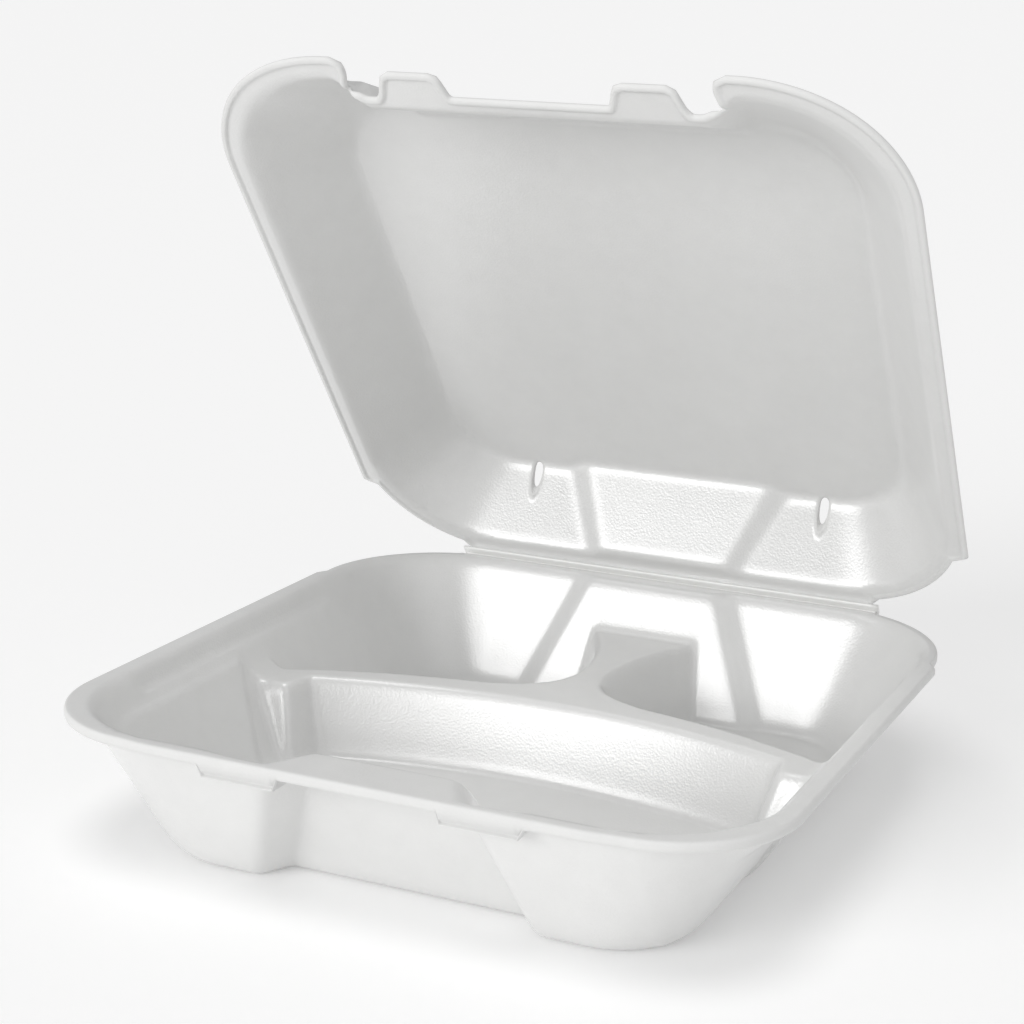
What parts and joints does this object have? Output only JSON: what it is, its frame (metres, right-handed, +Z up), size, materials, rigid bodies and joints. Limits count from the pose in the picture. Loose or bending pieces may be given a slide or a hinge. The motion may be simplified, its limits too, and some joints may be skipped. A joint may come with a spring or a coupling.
{
  "type": "foam clamshell container",
  "caption": "Hinged-lid take-away container in white foam, with three compartments and a snap-shut front edge, standing open.",
  "frame": {"origin": "on the table, under the middle of the whole outline with the lid standing open", "axes": "+X along the hinge, +Y from the front edge to the hinge at the back, +Z up"},
  "size_m": [0.235, 0.2551, 0.2401],
  "materials": {
    "foam": "satin"
  },
  "bodies": {
    "tray": {"base_tray": "foam"},
    "lid": {"hinged_lid": "foam"}
  },
  "joints": [
    {"name": "lid_hinge", "type": "hinge", "parent": "tray", "child": "lid", "pos_m": [0, 0.1134, 0.0452], "axis": [-1, 0, 0], "range_deg": [-53, 127]}
  ]
}
